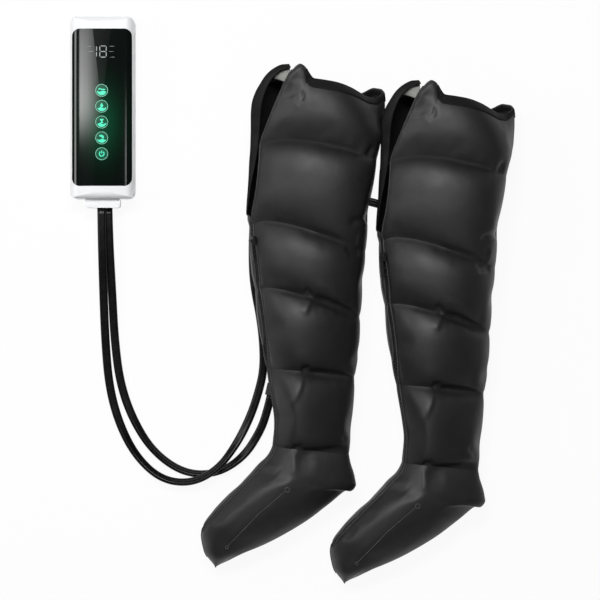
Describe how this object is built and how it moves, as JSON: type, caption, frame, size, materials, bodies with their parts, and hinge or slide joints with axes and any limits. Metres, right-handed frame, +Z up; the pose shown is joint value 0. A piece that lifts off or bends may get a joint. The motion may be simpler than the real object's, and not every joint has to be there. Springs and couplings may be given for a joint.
{
  "type": "pair of air compression boots",
  "caption": "Pair of padded air compression leg boots with welded chambers and front zips, lying flat and joined by hoses to a slab-shaped pump controller with display and keys.",
  "frame": {"origin": "on the floor under the middle of the set, cords left out", "axes": "+X to the right and +Y towards the boots' leg openings as the set lies, +Z up from the floor"},
  "size_m": [0.7896, 1.0242, 0.1376],
  "materials": {
    "boot_fabric": "matte black coated nylon with a soft sheen",
    "hem_fabric": "black webbing hem",
    "zip_tape": "black woven tape",
    "zip_teeth": "black coil teeth",
    "zip_metal": "black enamelled die-cast",
    "hose": "black satin",
    "fitting": "black moulded",
    "case_white": "white satin moulding",
    "window_black": "black mirror gloss",
    "key_black": "black gloss with lit green symbols",
    "display": "dark segment display",
    "board_green": "green solder mask",
    "switch": "black moulded",
    "steel": "plain",
    "foot_rubber": "grey matt",
    "cell_wrap": "blue shrink wrap",
    "inner_plastic": "dark grey moulded",
    "crank_metal": "turned",
    "soft_tube": "milky silicone",
    "seal": "black",
    "nozzle": "pale grey moulded"
  },
  "bodies": {
    "boots": {"left_chamber_1": "boot_fabric", "left_chamber_2": "boot_fabric", "left_chamber_3": "boot_fabric", "left_chamber_4": "boot_fabric", "left_chamber_5": "boot_fabric", "left_foot_chamber": "boot_fabric", "left_cuff": "hem_fabric", "left_zip_hem": "hem_fabric", "left_zip_tapes": "zip_tape", "left_zip_teeth": "zip_teeth", "left_air_inlet": "fitting", "right_chamber_1": "boot_fabric", "right_chamber_2": "boot_fabric", "right_chamber_3": "boot_fabric", "right_chamber_4": "boot_fabric", "right_chamber_5": "boot_fabric", "right_foot_chamber": "boot_fabric", "right_cuff": "hem_fabric", "right_zip_hem": "hem_fabric", "right_zip_tapes": "zip_tape", "right_zip_teeth": "zip_teeth", "right_air_inlet": "fitting", "left_hose": "hose", "right_hose": "hose", "hose_plug": "case_white", "plug_nozzles": "nozzle", "nozzle_seals": "seal"},
    "controller": {"rear_shell": "case_white", "front_shell": "case_white", "front_lens": "window_black", "control_board": "board_green", "board_screws": "steel", "tact_switches": "switch", "display_module": "display", "housing_screws": "steel", "rubber_feet": "foot_rubber", "battery_tray": "inner_plastic", "battery_cells": "cell_wrap", "pump_cradle": "soft_tube", "pump_head": "inner_plastic", "pump_motor": "steel", "valve_manifold": "inner_plastic", "solenoid_valves": "steel", "air_tubes": "soft_tube", "air_socket": "inner_plastic", "charge_socket": "inner_plastic"},
    "key_mode": {"key_mode": "key_black"},
    "key_pressure": {"key_pressure": "key_black"},
    "key_time": {"key_time": "key_black"},
    "key_zone": {"key_zone": "key_black"},
    "key_power": {"key_power": "key_black"},
    "pump_crank": {"pump_crank": "crank_metal"},
    "left_zip_slider": {"left_zip_slider": "zip_metal"},
    "left_zip_pull": {"left_zip_pull": "zip_metal"},
    "right_zip_slider": {"right_zip_slider": "zip_metal"},
    "right_zip_pull": {"right_zip_pull": "zip_metal"}
  },
  "joints": [
    {"name": "controller_unplug", "type": "slide", "parent": "boots", "child": "controller", "axis": [0, 1, 0], "range_m": [0, 0.03]},
    {"name": "key_mode_press", "type": "slide", "parent": "controller", "child": "key_mode", "axis": [0, 0, -1], "range_m": [0, 0.0007], "stiffness_N_per_m": 2500},
    {"name": "key_pressure_press", "type": "slide", "parent": "controller", "child": "key_pressure", "axis": [0, 0, -1], "range_m": [0, 0.0007], "stiffness_N_per_m": 2500},
    {"name": "key_time_press", "type": "slide", "parent": "controller", "child": "key_time", "axis": [0, 0, -1], "range_m": [0, 0.0007], "stiffness_N_per_m": 2500},
    {"name": "key_zone_press", "type": "slide", "parent": "controller", "child": "key_zone", "axis": [0, 0, -1], "range_m": [0, 0.0007], "stiffness_N_per_m": 2500},
    {"name": "key_power_press", "type": "slide", "parent": "controller", "child": "key_power", "axis": [0, 0, -1], "range_m": [0, 0.0007], "stiffness_N_per_m": 2500},
    {"name": "pump_crank_spin", "type": "hinge", "parent": "controller", "child": "pump_crank", "pos_m": [-0.3393, 0.2979, 0.0255], "axis": [0, 1, 0], "continuous": true},
    {"name": "left_zip_slide", "type": "slide", "parent": "boots", "child": "left_zip_slider", "axis": [0.118, -0.9919, -0.0471], "range_m": [0, 0.21]},
    {"name": "left_pull_swing", "type": "hinge", "parent": "left_zip_slider", "child": "left_zip_pull", "pos_m": [-0.0713, 0.10657, 0.08866], "axis": [-0.5737, -0.0293, -0.8185], "range_deg": [0, 165]},
    {"name": "right_zip_slide", "type": "slide", "parent": "boots", "child": "right_zip_slider", "axis": [0.118, -0.9919, -0.0471], "range_m": [0, 0.21]},
    {"name": "right_pull_swing", "type": "hinge", "parent": "right_zip_slider", "child": "right_zip_pull", "pos_m": [0.1621, 0.07757, 0.08866], "axis": [-0.5737, -0.0293, -0.8185], "range_deg": [0, 165]}
  ]
}
